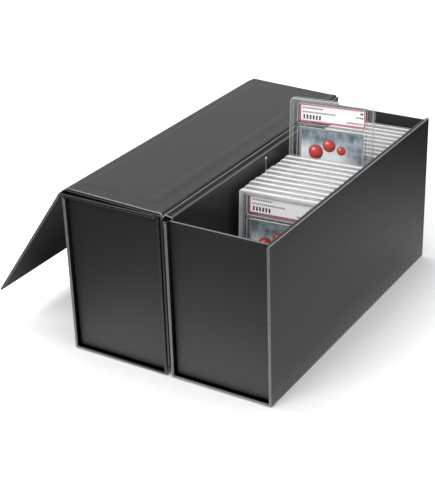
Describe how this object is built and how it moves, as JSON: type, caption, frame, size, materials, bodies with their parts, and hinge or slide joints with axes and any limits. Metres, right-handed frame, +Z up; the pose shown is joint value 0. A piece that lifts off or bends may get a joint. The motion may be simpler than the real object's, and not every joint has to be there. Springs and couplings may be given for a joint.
{
  "type": "graded card storage box",
  "caption": "Long book-style storage box with folded-back lid and flap over a shut twin, holding upright graded card cases, one of them raised.",
  "frame": {"origin": "under the middle of the open box's base, on the surface it stands on", "axes": "+Z up, +Y along the box away from its near end, +X from the hinged spine wall towards the front wall"},
  "size_m": [0.2912, 0.322, 0.1953],
  "materials": {
    "cover_board": "black textured paper over rigid board",
    "tray_board": "matt black paper over rigid board",
    "lining_paper": "soft matt dark grey paper",
    "hinge_paper": "black textured paper",
    "case_plastic": "clear plastic with frosted edges",
    "card_print": "printed card",
    "label_print": "printed paper label",
    "magnet_plating": "nickel-plated disc",
    "keeper_steel": "plain steel disc",
    "marker_plastic": "pale plastic"
  },
  "bodies": {
    "open_box": {"open_cover_base": "cover_board", "open_cover_front": "cover_board", "open_cover_spine": "cover_board", "open_keeper_discs": "keeper_steel", "open_lid_hinge_strip": "hinge_paper", "open_tray_far_end": "tray_board", "open_tray_floor": "tray_board", "open_tray_front_side": "tray_board", "open_tray_near_end": "tray_board", "open_tray_spine_side": "tray_board", "standing_cards": "card_print", "standing_case_01": "case_plastic", "standing_case_02": "case_plastic", "standing_case_03": "case_plastic", "standing_case_04": "case_plastic", "standing_case_05": "case_plastic", "standing_case_06": "case_plastic", "standing_case_07": "case_plastic", "standing_case_08": "case_plastic", "standing_case_09": "case_plastic", "standing_case_10": "case_plastic", "standing_case_11": "case_plastic", "standing_case_12": "case_plastic", "standing_case_13": "case_plastic", "standing_case_14": "case_plastic", "standing_case_15": "case_plastic", "standing_case_16": "case_plastic", "standing_case_17": "case_plastic", "standing_case_18": "case_plastic", "standing_case_19": "case_plastic", "standing_labels": "label_print", "wall_marker": "marker_plastic"},
    "open_lid": {"open_lid_board": "cover_board", "open_lid_lining": "lining_paper"},
    "open_flap": {"open_flap_board": "cover_board", "open_flap_hinge_strip": "hinge_paper", "open_flap_lining": "lining_paper", "open_flap_magnets": "magnet_plating"},
    "lifted_case": {"raised_card": "card_print", "raised_case": "case_plastic", "raised_label": "label_print"},
    "shut_box": {"shut_cover_base": "cover_board", "shut_cover_front": "cover_board", "shut_cover_spine": "cover_board", "shut_flap_board": "cover_board", "shut_flap_hinge_strip": "hinge_paper", "shut_flap_lining": "lining_paper", "shut_flap_magnets": "magnet_plating", "shut_keeper_discs": "keeper_steel", "shut_lid_board": "cover_board", "shut_lid_hinge_strip": "hinge_paper", "shut_lid_lining": "lining_paper", "shut_tray_far_end": "tray_board", "shut_tray_floor": "tray_board", "shut_tray_front_side": "tray_board", "shut_tray_near_end": "tray_board", "shut_tray_spine_side": "tray_board"}
  },
  "joints": [
    {"name": "shut_box_slide", "type": "slide", "parent": "open_box", "child": "shut_box", "axis": [0, -1, 0], "range_m": [0, 0.33]},
    {"name": "open_lid_hinge", "type": "hinge", "parent": "open_box", "child": "open_lid", "pos_m": [-0.051, 0, 0.15565], "axis": [0, 1, 0], "range_deg": [0, 178], "deforming": ["open_lid_hinge_strip"]},
    {"name": "open_flap_hinge", "type": "hinge", "parent": "open_lid", "child": "open_flap", "pos_m": [-0.15538, 0, 0.15814], "axis": [0, 1, 0], "range_deg": [0, 146.7], "deforming": ["open_flap_hinge_strip"]},
    {"name": "raised_case_lift", "type": "slide", "parent": "open_box", "child": "lifted_case", "axis": [-0.0096, 0.0779, 0.9969], "range_m": [-0.0537, 0]}
  ],
  "couplings": [
    {"joint": "raised_case_lift", "follows": "open_lid_hinge", "m_per_rad": -0.017285}
  ]
}
